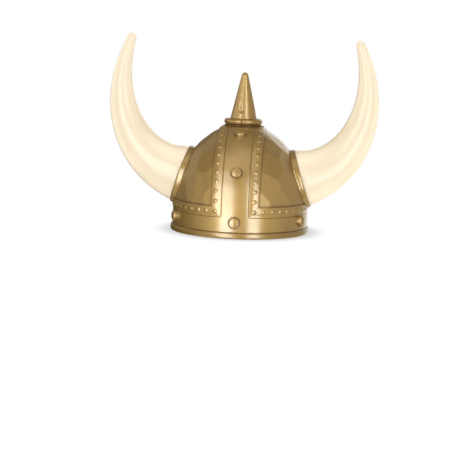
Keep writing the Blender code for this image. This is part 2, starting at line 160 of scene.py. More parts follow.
class HelmetColours(bpy.types.PropertyGroup):
    """Colours of the plastics, and of the painted shade."""

    gold: colour("Gold", "The gold plastic's main colour", (0.465, 0.299, 0.087))
    gold_deep: colour("Deep gold", "The gold where its pigment is denser", (0.381, 0.239, 0.066))
    # Painted shade: the brown painted into corners, grooves and under the collar, where shade
    # falls.
    crease: colour("Crease", "The brown that gathers in corners and grooves", (0.10, 0.05, 0.018))
    cream: colour("Cream", "The horns' main colour", (0.87, 0.765, 0.592))
    cream_deep: colour("Deep cream", "The horns' warmer, darker cream", (0.83, 0.725, 0.53))
    speck: colour("Speck", "The few specks in the cream", (0.55, 0.42, 0.25))


def sizes():
    return bpy.context.scene.helmet_sizes


def colours():
    return bpy.context.scene.helmet_colours


# -------- shader maths
class Socket:
    """An output of a node that takes part in Python expressions. Each operator adds a Math node."""

    def __init__(self, graph, output):
        self.graph = graph
        self.output = output

    def __add__(self, other):
        return self.graph.math("ADD", self, other)

    def __sub__(self, other):
        return self.graph.math("SUBTRACT", self, other)

    def __mul__(self, other):
        return self.graph.math("MULTIPLY", self, other)

    def __truediv__(self, other):
        return self.graph.math("DIVIDE", self, other)

    def __pow__(self, other):
        return self.graph.math("POWER", self, other)

    def __rsub__(self, other):
        return self.graph.math("SUBTRACT", other, self)

    def __abs__(self):
        return self.graph.math("ABSOLUTE", self)

    __radd__ = __add__


class Graph:
    """A node tree under construction."""

    def __init__(self, tree):
        self.tree = tree
        tree.nodes.clear()

    def node(self, kind, settings=None, values=None, output=0):
        """Add any node: its settings, then its sockets' values or links, by name or number."""
        made = self.tree.nodes.new("ShaderNode" + kind)
        for name, setting in (settings or {}).items():
            setattr(made, name, setting)
        for name, value in (values or {}).items():
            if isinstance(value, Socket):
                self.tree.links.new(value.output, made.inputs[name])
            else:
                made.inputs[name].default_value = value
        return Socket(self, made.outputs[output]) if made.outputs else made

    def math(self, operation, first, second=0.0):
        return self.node("Math", {"operation": operation}, {0: first, 1: second})

    def largest(self, first, *others):
        for other in others:
            first = self.math("MAXIMUM", first, other)
        return first

    def mix(self, factor, *shades):
        """Mix two colours."""
        first, second = [shade if isinstance(shade, Socket) else (*shade, 1.0) for shade in shades]
        values = {"Factor": factor, 6: first, 7: second}
        return self.node("Mix", {"data_type": "RGBA"}, values, output=2)

    def step(self, value, low, high):
        """0 below low, 1 above high and a smooth rise between. High may be the smaller one."""
        values = {"Value": value, "From Min": low, "From Max": high}
        return self.node("MapRange", {"interpolation_type": "SMOOTHSTEP"}, values)

    def parts(self, vector):
        """The three coordinates of a vector."""
        return [self.node("SeparateXYZ", None, {0: vector}, output=axis) for axis in "XYZ"]

    def combine(self, *parts):
        """A vector or colour of three coordinates."""
        return self.node("CombineXYZ", None, dict(enumerate(parts)))

    def noise(self, place, scale, detail):
        values = {"Vector": place, "Scale": scale, "Detail": detail}
        return self.node("TexNoise", None, values)

    def place(self):
        """Where a point lies on the object, in metres."""
        return self.node("TexCoord", output="Object")

    def bump(self, height, distance, strength):
        values = {"Height": height, "Distance": distance, "Strength": strength}
        return self.node("Bump", None, values)

    def surface(self, **values):
        """A Principled shader on the surface output. Underscores in the names stand for spaces."""
        named = {name.replace("_", " "): value for name, value in values.items()}
        shader = self.node("BsdfPrincipled", None, named)
        self.node("OutputMaterial", None, {"Surface": shader})


def new_graph(name):
    material = bpy.data.materials.new(name)
    material.use_nodes = True
    return material, Graph(material.node_tree)


def dome_painted_shade(graph, place, panels):
    """Painted shade on the dome: round the sockets, a painted shadow under the collar and a dark
    line along the panels.
    """
    across, along, up = graph.parts(place)
    beside = abs(across)
    over_socket = (up - SOCKET_CENTRE.z) * cos(SOCKET_HEADING)
    over_socket = over_socket - (beside - SOCKET_CENTRE.x) * sin(SOCKET_HEADING)
    from_socket = (over_socket * over_socket + along * along) ** 0.5 - SOCKET_RADIUS
    from_collar = (across * across * 1.3 + along * along) ** 0.5 - COLLAR_HIGH.x
    # Painted shade round the sockets, and a painted shadow under the collar: wide and soft, darker
    # close in.
    shade_share = graph.largest(
        graph.step(from_socket, 0.0026, 0.0002) * 0.75,
        graph.step(from_collar, 0.0060, 0.0002) * 0.6,
        graph.step(from_collar, 0.0022, 0.0006),
    )
    if panels:
        # Painted shade along the panels, where the frames' inner edges shade them.
        from_frame = graph.math("MINIMUM", beside - FRAME_INNER_X, up - FRAME_TOP)
        shade_share = graph.largest(shade_share, graph.step(from_frame, 0.0018, 0.0003) * 0.5)
    return shade_share


def gold_plastic(name="moulded_gold", dull=0.0, seam=False, dome=False, panels=False):
    """Gold plastic with fine metal flakes, and painted shade: browner in its corners and creases.

    Dull adds roughness, seam adds the parting line over the strap, with a little painted shade
    along it.
    """
    found = bpy.data.materials.get(name)
    if found:
        return found
    material, graph = new_graph(name)
    place = graph.place()
    clouds = graph.noise(place, 38.0, detail=3.0)
    flakes = graph.noise(place, 800.0, detail=2.0)
    deep = colours().gold_deep
    gold = graph.mix(graph.step(clouds, 0.35, 0.7), colours().gold, deep)
    gold = graph.mix(graph.step(flakes, 0.35, 0.75) * 0.60, gold, deep)
    # Painted shade: where ambient occlusion finds the surface hemmed in, and where a piece's points
    # carry it.
    reach = {"Distance": 0.0018}
    open_sky = graph.node("AmbientOcclusion", {"samples": 12}, reach, output="AO")
    painted = graph.node("Attribute", {"attribute_name": "crease"}, output="Fac")
    shade_share = graph.largest(graph.step(open_sky, 0.80, 0.30) * 0.28, painted)
    if dome:
        shade_share = graph.largest(shade_share, dome_painted_shade(graph, place, panels))
    height = flakes * 0.35 + clouds
    # The parting line: a fine groove in the bump, with a little painted shade along it.
    if seam:
        line = graph.step(abs(graph.parts(place)[0]), 0.0003, 0.00005)
        shade_share = graph.largest(shade_share, line * 0.15)
        height = height - line * 0.3
    graph.surface(
        # Painted shade browns the colour and takes away the coat's highlights.
        Base_Color=graph.mix(shade_share, gold, colours().crease),
        Metallic=0.70,
        Roughness=0.52 + dull + (clouds - 0.5) * 0.10,
        Coat_Weight=1.0 - shade_share * 0.8,
        Coat_Roughness=0.24,
        Coat_IOR=2.0,
        Normal=graph.bump(height, 0.00012, 0.35),
    )
    return material


def cream_plastic():
    """Smooth cream plastic with a faint warm cloudiness and a few specks."""
    found = bpy.data.materials.get("moulded_cream")
    if found:
        return found
    material, graph = new_graph("moulded_cream")
    place = graph.place()
    clouds = graph.noise(place, 22.0, detail=4.0)
    grain = graph.noise(place, 700.0, detail=1.0)
    cloudy = graph.step(clouds, 0.3, 0.75) * 0.6
    cream = graph.mix(cloudy, colours().cream, colours().cream_deep)
    specks = graph.node("TexVoronoi", None, {"Vector": place, "Scale": 45.0})
    speck = graph.step(specks, 0.035, 0.015) * 0.35
    graph.surface(
        Base_Color=graph.mix(speck, cream, colours().speck),
        Roughness=0.30 + (clouds - 0.5) * 0.08,
        Subsurface_Weight=0.10,
        Subsurface_Radius=(0.010, 0.006, 0.003),
        Subsurface_Scale=0.12,
        Coat_Weight=0.40,
        Coat_Roughness=0.30,
        Normal=graph.bump(clouds + grain * 0.03, 0.0006, 0.30),
    )
    return material


# -------- mesh making
def new_shape():
    """An empty mesh under construction. Its points carry their share of the painted shade colour.
    """
    shape = bmesh.new()
    shape.verts.layers.float.new("crease")
    return shape


def add_grid(shape, rows, ring=False, loop=False, painted_shades=()):
    """Quads between rows of points. Ring closes each row on itself, loop joins last row and first.

    The painted shades give each row its share of the painted shade colour.
    """
    made = [[shape.verts.new(point) for point in row] for row in rows]
    for row, crease in zip(made, painted_shades):
        for vertex in row:
            vertex[shape.verts.layers.float["crease"]] = crease
    if loop:
        made.append(made[0])
    for low, high in zip(made, made[1:]):
        pairs = list(zip(low, high))
        if ring:
            pairs.append(pairs[0])
        for (a, d), (b, c) in zip(pairs, pairs[1:]):
            shape.faces.new((a, b, c, d))
    return made


def add_cap(shape, ring, point):
    """Close a ring of vertices with triangles to one point."""
    middle = shape.verts.new(point)
    for first, second in zip(ring, ring[1:] + ring[:1]):
        shape.faces.new((first, second, middle))


def add_closed(shape, rows, low, high, painted_shades=(), turn=Matrix()):
    """Rings of points, closed at both ends to points on their axis: Z, moved by a matrix."""
    made = add_grid(shape, rows, ring=True, painted_shades=painted_shades)
    add_cap(shape, made[0], turn @ Vector((0, 0, low)))
    add_cap(shape, made[-1], turn @ Vector((0, 0, high)))
    return made


def link(name, data):
    """Put a mesh, a camera or a light into the scene."""
    made = bpy.data.objects.new(name, data)
    bpy.context.scene.collection.objects.link(made)
    return made


def link_facing(name, data, place, direction, roll=0.0):
    """Put a camera or a light at a place, facing a direction."""
    made = link(name, data)
    made.location = place
    made.rotation_mode = "QUATERNION"
    made.rotation_quaternion = direction.to_track_quat("-Z", "Y") @ Quaternion((0, 0, 1), roll)
    return made


def new_object(name, shape):
    """Turn a finished bmesh into an object of the scene."""
    mesh = bpy.data.meshes.new(name)
    shape.to_mesh(mesh)
    shape.free()
    return link(name, mesh)


def smooth(mesh, sharp):
    """Shade a mesh smooth, apart from its edges over an angle in degrees."""
    mesh.shade_smooth()
    mesh.set_sharp_from_angle(angle=radians(sharp))


def make_piece(node, shape, material, sharp=SHARP_ANGLE):
    """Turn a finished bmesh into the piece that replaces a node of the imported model."""
    bmesh.ops.remove_doubles(shape, verts=shape.verts, dist=MERGE)
    bmesh.ops.recalc_face_normals(shape, faces=shape.faces)
    piece = new_object(node + "_dressed", shape)
    piece.data.materials.append(material)
    smooth(piece.data, sharp)
    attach(piece, "root")
    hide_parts(node)
    return piece


def arc(centre, radii, start, end, steps):
    """Points along an elliptical arc, from start to end in degrees."""
    angles = [radians(start + (end - start) * step / steps) for step in range(steps + 1)]
    across = [centre[0] + radii[0] * cos(angle) for angle in angles]
    up = [centre[1] + radii[1] * sin(angle) for angle in angles]
    return list(zip(across, up))


def even_angles(count):
    return [2 * pi * step / count for step in range(count)]


def radial(radius, angle, height):
    """Point at a radius from the Z axis, at an angle round from the front, in radians."""
    return Vector((radius * sin(angle), -radius * cos(angle), height))


def turned_rows(profile, sides, turn=Matrix()):
    """Rows of points for a profile of (radius, height) turned about Z, then moved by a matrix."""
    angles = even_angles(sides)
    return [[turn @ radial(reach, angle, height) for angle in angles] for reach, height in profile]


def add_turned(shape, section, sides, turn, low, high):
    """A section of (radius, height, painted shade) turned about Z, closed at two heights and moved.
    """
    rows = turned_rows([(radius, height) for radius, height, _ in section], sides, turn)
    add_closed(shape, rows, low, high, [crease for _, _, crease in section], turn)


# -------- the dome's form
def dome_radii(level):
    """Half width, half depth and rise of the dome grown outwards by level."""
    own = sizes()
    return own.half_width + level, own.half_depth + level, own.crown - own.spring + level


def shrink_at(height, rise):
    """Share of its width that the dome keeps at a height."""
    return sqrt(max(0.0, 1 - (max(0.0, height - sizes().spring) / rise) ** 2))


def dome_point(around, height, level=0.0):
    """Point of the grown dome at an angle round from the front, in radians, and a height."""
    half_width, half_depth, rise = dome_radii(level)
    shrink = shrink_at(height, rise)
    across, along = half_width * shrink * sin(around), half_depth * shrink * cos(around)
    return Vector((across, -along, height))


def dome_rows(angles, profile):
    """Rows of points round the dome, for a profile of (height, level)."""
    return [[dome_point(angle, height, level) for angle in angles] for height, level in profile]


def dome_share(point, level=0.0):
    """How far a point is from the dome's middle, as a share of the grown dome's reach that way."""
    half_width, half_depth, rise = dome_radii(level)
    lift = max(0.0, point.z - sizes().spring)
    return sqrt((point.x / half_width) ** 2 + (point.y / half_depth) ** 2 + (lift / rise) ** 2)


def front_point(x, height, level, back=1):
    """Point of the grown dome with a given x and height, on the front or, with back -1, behind."""
    half_width, half_depth, rise = dome_radii(level)
    drop = max(0.0, height - sizes().spring) / rise
    y = half_depth * sqrt(max(0.0, 1 - (x / half_width) ** 2 - drop**2))
    return Vector((x, -y * back, height))


def crown_point(x, angle, level):
    """Point of the grown dome with a given x, at an angle over the crown from the front."""
    half_width, half_depth, rise = dome_radii(level)
    shrink = sqrt(1 - (x / half_width) ** 2)
    along, up = half_depth * shrink * cos(angle), rise * shrink * sin(angle)
    return Vector((x, -along, sizes().spring + up))


def dome_normal(point):
    """Outward direction of the dome at a point on it or just off it."""
    half_width, half_depth, rise = dome_radii(0.0)
    lift = max(0.0, point.z - sizes().spring) / rise**2
    return Vector((point.x / half_width**2, point.y / half_depth**2, lift)).normalized()


def standing(place):
    """Matrix that stands a turned shape on the dome at a point of it."""
    turn = dome_normal(place).to_track_quat("Z", "Y")
    return Matrix.Translation(place) @ turn.to_matrix().to_4x4()


def frame_corner(inset):
    """Radius and (x, height) points of a frame's outer corner, drawn in by inset."""
    low_x, low_z = FRAME_LOW.x + inset, FRAME_LOW.z + inset
    radius = max(CORNER_RADIUS - inset, SHARP_RADIUS)
    return radius, arc((low_x + radius, low_z + radius), (radius, radius), 180, 270, CORNER_STEPS)


def crown_start(x, height, level):
    """Angle over the crown at which the grown dome, cut at one x, stands at a height."""
    half_width, _, rise = dome_radii(level)
    return asin((height - sizes().spring) / (rise * sqrt(1 - (x / half_width) ** 2)))


def crown_run(x, start, level, steps):
    """Points at one x over the crown, from an angle up from the front to the same angle behind."""
    share = (pi - 2 * start) / steps
    return [crown_point(x, start + share * step, level) for step in range(steps + 1)]


def side_run(side, start, height, level, steps):
    """Points at one height round a side, from an angle off the front to the same angle behind."""
    share = (pi - 2 * start) / steps
    return [dome_point(side * (start + share * step), height, level) for step in range(steps + 1)]


def side_path(side, inset, level):
    """Closed path round one studded frame, drawn in by inset from its outer edge, as four runs."""
    low_x, low_z = FRAME_LOW.x + inset, FRAME_LOW.z + inset
    radius, corner = frame_corner(inset)
    crown = crown_run(side * low_x, crown_start(low_x, low_z + radius, level), level, CROWN_STEPS)
    back_corner = [front_point(side * x, z, level, back=-1) for x, z in corner[1:-1]]
    front_corner = [front_point(side * x, z, level) for x, z in reversed(corner[1:-1])]
    half_width, _, rise = dome_radii(level)
    start = asin((low_x + radius) / (half_width * shrink_at(low_z, rise)))
    around = side_run(side, start, low_z, level, SIDE_STEPS)
    return crown, back_corner, around[::-1], front_corner


def whole_path(side, inset, level):
    return [point for run in side_path(side, inset, level) for point in run]


def soft_edge(inset, level, inwards):
    """Points of a rounded moulded edge, from the face down to where the edge stands upright."""
    points = arc((0, level - SOFT_EDGE), (SOFT_EDGE, SOFT_EDGE), 90, 0, 4)
    return [(inset + inwards * (SOFT_EDGE - across), height) for across, height in points]


# -------- shell
def facet_planes():
    """Planes of the flat hammered facets. The back repeats the front, turned half round."""
    planes = []
    for side, facets in ((1, FRONT_RIGHT_FACETS), (-1, FRONT_LEFT_FACETS)):
        for half_turn in (0, pi):
            for around, height, depth in facets:
                point = dome_point(side * radians(around) + half_turn, height / 1000)
                normal = dome_normal(point)
                planes.append((point - normal * depth / 1000, normal))
    return planes


def faceted(point, planes, softness):
    """Move a point of the dome in to the facets that cut it, with soft creases between them."""
    normal = dome_normal(point)
    level = 0.0
    for centre, facing in planes:
        slope = normal.dot(facing)
        if slope < 0.5:  # too far round to cut here
            continue
        sunk = (centre - point).dot(facing) / slope
        if sunk > 2 * softness:
            continue
        blend = max(0.0, softness - abs(sunk - level)) / softness
        level = min(sunk, level) - blend**2 * softness / 4
    return point + normal * level


class HELMET_OT_shell(bpy.types.Operator):
    """Hollow dome with flat hammered facets in its side panels"""

    bl_idname = "helmet.shell"
    bl_label = "Shell"

    columns = 420
    wall_rows = 10
    dome_rows = 140
    crease_softness = 0.00005

    def execute(self, context):
        own = sizes()
        planes = facet_planes()
        angles = even_angles(self.columns)
        base = SHELL_LOW.z
        shares = [row / self.wall_rows for row in range(self.wall_rows)]
        heights = [base + (own.spring - base) * share for share in shares]
        rise = own.crown - own.spring
        turns = [pi / 2 * row / self.dome_rows for row in range(self.dome_rows)]
        heights += [own.spring + rise * sin(turn) for turn in turns]
        rows = [
            [faceted(dome_point(angle, height), planes, self.crease_softness) for angle in angles]
            for height in heights
        ]
        shape = bmesh.new()
        outside = add_grid(shape, rows, ring=True)
        add_cap(shape, outside[-1], Vector((0, 0, own.crown)))
        inner_heights = heights[: self.wall_rows]
        inner_heights += [own.spring + (rise - own.wall) * sin(turn) for turn in turns]
        coarse = inner_heights[::2] + inner_heights[-1:]
        inside_rows = dome_rows(angles, [(height, -own.wall) for height in coarse])
        outer_faces = len(shape.faces)
        inside = add_grid(shape, inside_rows, ring=True)
        add_cap(shape, inside[-1], Vector((0, 0, own.crown - own.wall)))
        shape.faces.ensure_lookup_table()
        for face in shape.faces[outer_faces:]:
            face.material_index = 1
        add_grid(shape, [rows[0], inside_rows[0]], ring=True)
        gold = gold_plastic("moulded_gold_dome", dome=True, panels=True)
        shell = make_piece("shell", shape, gold)
        shell.data.materials.append(gold_plastic("moulded_gold_inside", dull=0.15))
        return {"FINISHED"}


# -------- smooth band
def add_band_face(shape, inset, level, bottom):
    """Brow ring and strap over the crown as one sheet, with its two openings drawn in by inset."""
    half_width, half_depth, rise = dome_radii(level)
    runs = {side: side_path(side, inset, level) for side in (1, -1)}
    shares = [column / STRAP_COLUMNS for column in range(STRAP_COLUMNS + 1)]
    strap = []
    for left, right in zip(runs[-1][0], runs[1][0]):
        angle = atan2((right.z - sizes().spring) / rise, -right.y / half_depth)
        row = [left.x + (right.x - left.x) * share for share in shares]
        strap.append([crown_point(x, angle, level) for x in row])
    flares = [[(x * (2 * share - 1), z) for share in shares] for x, z in frame_corner(inset)[1][1:]]
    front = [[front_point(x, z, level) for x, z in row] for row in reversed(flares)]
    back = [[front_point(x, z, level, back=-1) for x, z in row] for row in flares]
    add_grid(shape, front + strap + back)
    across = [asin(x / half_width) for x, _ in flares[-1]]
    side = [atan2(point.x / half_width, -point.y / half_depth) for point in reversed(runs[1][2])]
    angles = across[:-1] + side + [pi - angle for angle in reversed(across[1:-1])]
    angles += [angle + pi for angle in side]
    top = FRAME_LOW.z + inset
    heights = [bottom + (top - bottom) * row / BROW_ROWS for row in range(BROW_ROWS + 1)]
    add_grid(shape, dome_rows(angles, [(height, level) for height in heights]), ring=True)
    return angles


def moat_cutter(centres):
    """Rings that cut the round groove beside each large rivet."""
    shape = bmesh.new()
    for centre in centres:
        middle = rivet_reach(centre) + MOAT_WIDTH / 2
        section = arc((middle, 0), (MOAT_WIDTH / 2, MOAT_DEPTH), 0, 360, 12)[:-1]
        add_grid(shape, turned_rows(section, 48, standing(centre)), ring=True, loop=True)
    bmesh.ops.recalc_face_normals(shape, faces=shape.faces)
    return new_object("rivet_moats", shape)


def rivet_nodes():
    return sorted(name for name in frame["nodes"] if name.startswith("rivet_"))


def rivet_centre(node):
    """Where a rivet's head stands on the smooth band."""
    low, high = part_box(node)
    middle = (low + high) / 2
    lift = max(0.0, middle.z - sizes().spring)
    share = dome_share(middle, sizes().band_level)
    return Vector((middle.x / share, middle.y / share, middle.z - lift + lift / share))


def rivet_reach(centre):
    """Radius of a rivet's head, which is smaller where a frame lies just above it."""
    wanted = sizes().rivet_radius
    if abs(centre.x) < FRAME_LOW.x:
        return wanted
    return min(wanted, FRAME_LOW.z - centre.z)


class HELMET_OT_band(bpy.types.Operator):
    """Smooth band round the brow and over the crown, with a groove round each large rivet"""

    bl_idname = "helmet.band"
    bl_label = "Band"

    def execute(self, context):
        level = sizes().band_level
        bottom = BAND_LOW.z
        shape = bmesh.new()
        angles = add_band_face(shape, -GAP - SOFT_EDGE, level, bottom + SOFT_EDGE)
        add_band_face(shape, -GAP, GAP, bottom)
        edge = soft_edge(-GAP, level, -1) + [(-GAP, GAP)]
        for side in (1, -1):
            add_grid(shape, [whole_path(side, inset, at) for inset, at in edge], ring=True)
        rolled = [(bottom - GAP - inset, at) for inset, at in edge]
        add_grid(shape, dome_rows(angles, rolled), ring=True)
        gold = gold_plastic("moulded_gold_with_seam", seam=True, dome=True)
        band = make_piece("band", shape, gold)
        cutter = moat_cutter([rivet_centre(node) for node in rivet_nodes()])
        cut = band.modifiers.new("Moats", "BOOLEAN")
        cut.operation = "DIFFERENCE"
        cut.object = cutter
        cut.solver = "EXACT"
        cut_band = band.evaluated_get(context.evaluated_depsgraph_get())
        mesh = bpy.data.meshes.new_from_object(cut_band)
        band.modifiers.clear()
        band.data = mesh
        smooth(mesh, CUT_SHARP_ANGLE)
        bpy.data.objects.remove(cutter)
        return {"FINISHED"}


# -------- studded frames
def spaced(path, with_ends):
    """Points at an even pitch along a path, with or without its two ends."""
    lengths = [0.0]
    for before, after in zip(path, path[1:]):
        lengths.append(lengths[-1] + (after - before).length)
    count = round(lengths[-1] / STUD_PITCH)
    places = []
    for number in range(count + 1) if with_ends else range(1, count):
        target = lengths[-1] * number / count
        after = next(index for index in range(1, len(path)) if lengths[index] >= target - TINY)
        share = (target - lengths[after - 1]) / (lengths[after] - lengths[after - 1])
        places.append(path[after - 1].lerp(path[after], share))
    return places


def under_socket(point, margin):
    """Whether a point of the dome lies under a horn's socket."""
    offset = Vector((abs(point.x) - SOCKET_CENTRE.x, point.y, point.z - SOCKET_CENTRE.z))
    across = offset.z * cos(SOCKET_HEADING) - offset.x * sin(SOCKET_HEADING)
    return abs(point.x) > FRAME_INNER_X and hypot(across, offset.y) < SOCKET_RADIUS + margin


def stud_places(side, level):
    """Points along one frame where its studs stand."""
    start = crown_start(STUD_X, STUD_HEIGHT, level)
    over = crown_run(side * STUD_X, start, level, STUD_LINE_STEPS)
    corner = asin(STUD_X / (dome_radii(level)[0] * cos(start)))
    beside = side_run(side, corner, STUD_HEIGHT, level, STUD_LINE_STEPS)
    return spaced(over, True) + spaced(beside, False)


class HELMET_OT_frames(bpy.types.Operator):
    """Two studded frames, each a strip along the strap and a strip above the brow"""

    bl_idname = "helmet.frames"
    bl_label = "Frames"

    ramp = 0.0058  # width over which the frame thins towards its outer edge
    ramp_steps = 20
    crowning = 0.00006  # how far its middle stands out further
    border = 0.0032  # from its outer edge to its groove
    groove_width = 0.0005
    groove_depth = 0.00028
    inner_foot = ((0.0008, 0.1), (-0.0002, 0.5), (-0.0012, 0.5))  # (level, share of painted shade), going down: painted shade at the inner edge's foot, where the frame shades the panel
    stud_sides = 18
    stud_rings = 8
    stud_flare = 1.1  # of the stud's foot, which dips under the frame
    stud_power = 2.1  # by which the stud falls off from its middle

    def section(self):
        """The frame's section as (inset, level, painted shade) points, from outer foot to inner
        one.
        """
        level = sizes().frame_level
        border_level = sizes().band_level
        width = FRAME_INNER_X - FRAME_LOW.x
        edge = [(inset, height, 0.0) for inset, height in reversed(soft_edge(0.0, border_level, 1))]
        # Painted shade at the outer edge's foot, beside the band.
        points = [(0.0, GAP, 0.35)] + edge
        for step in range(1, self.ramp_steps + 1):
            share = step / self.ramp_steps
            rise = (level - border_level) * share * share * (3 - 2 * share)
            points.append((SOFT_EDGE + self.ramp * share, border_level + rise, 0.0))
        points += [(width * share, level + self.crowning, 0.0) for share in (0.60, 0.70, 0.82)]
        points += [(inset, height, 0.0) for inset, height in soft_edge(width, level, -1)]
        return points + [(width, height, crease) for height, crease in self.inner_foot]

    def add_stud(self, shape, place):
        own = sizes()
        # The stud's foot takes a little painted shade.
        section = [(own.stud_radius * self.stud_flare, -0.0001, 0.1)]
        for ring in range(self.stud_rings):
            share = 1 - ring / self.stud_rings
            height = own.stud_rise * (1 - share**self.stud_power)
            section.append((own.stud_radius * share, height, 0.0))
        add_turned(shape, section, self.stud_sides, standing(place), -0.0002, own.stud_rise)

    def execute(self, context):
        own = sizes()
        section = self.section()
        painted_shades = [crease for _, _, crease in section]
        for name, side in SIDES:
            shape = new_shape()
            rows = []
            for inset, level, _ in section:
                off = abs(inset - self.border) / self.groove_width
                sunk = self.groove_depth * max(0.0, 1 - off)
                crown = side_path(side, inset, level)[0]
                rows.append(crown + whole_path(side, inset, level - sunk)[len(crown):])
            add_grid(shape, rows, ring=True, loop=True, painted_shades=painted_shades)
            for place in stud_places(side, own.frame_level):
                if not under_socket(place, own.stud_radius + GAP):
                    self.add_stud(shape, place)
            make_piece("frame_" + name, shape, gold_plastic("moulded_gold_frames", dome=True))
        return {"FINISHED"}


# -------- rim bead
class HELMET_OT_rim(bpy.types.Operator):
    """Round bead along the rim"""

    bl_idname = "helmet.rim"
    bl_label = "Rim bead"

    columns = 300
    foot = 0.0022  # how far the flat of its top and underside goes out
    inward = -0.0004  # of its inner side, inside the dome's face
    shade = 0.20  # its share of the painted shade colour, which dims the whole bead

    def execute(self, context):
        reach = BEAD_HIGH.x - sizes().half_width
        middle = BEAD_HIGH.z / 2
        outside = arc((self.foot, middle), (reach - self.foot, middle), -90, 90, 14)
        profile = [(0.0, self.inward)] + [(height, level) for level, height in outside]
        profile.append((BEAD_HIGH.z, self.inward))
        shape = new_shape()
        rows = dome_rows(even_angles(self.columns), profile)
        # Painted shade where the bead meets the dome above and below, and a little over all of it.
        painted_shades = [0.5] + [self.shade] * len(outside) + [0.5]
        add_grid(shape, rows, ring=True, loop=True, painted_shades=painted_shades)
        make_piece("rim_bead", shape, gold_plastic(), sharp=ROUND_SHARP_ANGLE)
        return {"FINISHED"}


# -------- large rivets
class HELMET_OT_rivets(bpy.types.Operator):
    """Large button heads on the smooth band, each in a round groove darkened with painted shade"""

    bl_idname = "helmet.rivets"
    bl_label = "Rivets"

    sides = 48
    shoulder = 0.0015  # radius of the round between the side and the top
    shoulder_steps = 8
    crown = 0.0005  # how far the top rises to its middle
    crown_rings = 6
    root = -0.0008  # height of its hidden underside

    def section(self, head):
        """The groove's floor and the head of a given radius, as (radius, height, painted shade)
        points.
        """
        rise = sizes().rivet_rise
        reach = head + MOAT_WIDTH
        # Painted shade in the groove and, lighter, up the head's side.
        points = [(reach, self.root, 0.2), (reach, -0.0001, 0.1), (reach - 0.0003, -0.0004, 0.25)]
        points += [(head + 0.0002, -0.00045, 0.4), (head, 0.0001, 0.3)]
        side = rise - self.crown - self.shoulder
        points += [(head, side * share, 0.15) for share in (0.3, 0.6)]
        flat = head - self.shoulder
        rounding = arc((flat, side), (self.shoulder, self.shoulder), 0, 90, self.shoulder_steps)
        points += [(*place, 0.0) for place in rounding]
        for ring in range(1, self.crown_rings):
            share = 1 - ring / self.crown_rings
            points.append((flat * share, rise - self.crown * share**2, 0.0))
        return points

    def execute(self, context):
        for node in rivet_nodes():
            centre = rivet_centre(node)
            section = self.section(rivet_reach(centre))
            shape = new_shape()
            add_turned(shape, section, self.sides, standing(centre), self.root, sizes().rivet_rise)
            make_piece(node, shape, gold_plastic())
        return {"FINISHED"}


# -------- horns and their sockets
def side_axes(side):
    """The socket's axis, and two directions across it."""
    axis = Vector((side * cos(SOCKET_HEADING), 0, sin(SOCKET_HEADING)))
    up = Vector((-side * sin(SOCKET_HEADING), 0, cos(SOCKET_HEADING)))
    return axis, up, Vector((0, -1, 0))


def reach_dome(start, direction, level):
    """How far to go from start along direction to sink to a level of the dome."""
    near, far = 0.0, SEARCH_REACH
    for _ in range(SEARCH_STEPS):
        middle = (near + far) / 2
        if (dome_share(start + direction * middle) - 1) * sizes().half_width > level:
            near = middle
        else:
            far = middle
    return near


class HELMET_OT_sockets(bpy.types.Operator):
    """Rounded rings on the dome that the horns stand in"""

    bl_idname = "helmet.sockets"
    bl_label = "Sockets"

    columns = 120
    bore = 0.0325
    lip = 0.0005
    round_depth = 0.0045
    waist = 0.00045  # how far the ring bulges between its face and the dome
    narrowing = 0.14  # how much it draws in on its way down
    sunk = -0.0016  # level of its foot, inside the dome's face

    def execute(self, context):
        for name, side in SIDES:
            axis, up, across = side_axes(side)
            centre = Vector((side * SOCKET_CENTRE.x, 0, SOCKET_CENTRE.z))
            lip = self.bore + self.lip
            face = arc((lip, -self.round_depth), (SOCKET_RADIUS - lip, self.round_depth), 90, 0, 10)
            shape = bmesh.new()
            rows = []
            for angle in even_angles(self.columns):
                outwards = up * cos(angle) + across * sin(angle)
                column = [centre + outwards * radius + axis * height for radius, height in face]
                start = column[-1]
                drawn_in = (-axis - outwards * self.narrowing).normalized()
                depth = reach_dome(start, drawn_in, self.sunk)
                for share in (0.1, 0.2, 0.35, 0.5, 0.65, 0.8, 0.9, 1.0):
                    bulge = outwards * self.waist * sin(pi * share)
                    column.append(start + drawn_in * depth * share + bulge)
                hole = centre + outwards * self.bore
                depth = reach_dome(hole, -axis, self.sunk)
                column += [hole - axis * depth, hole - axis * depth * 0.5, hole]
                rows.append(column)
            add_grid(shape, rows, ring=True, loop=True)
            make_piece("socket_" + name, shape, gold_plastic())
        return {"FINISHED"}


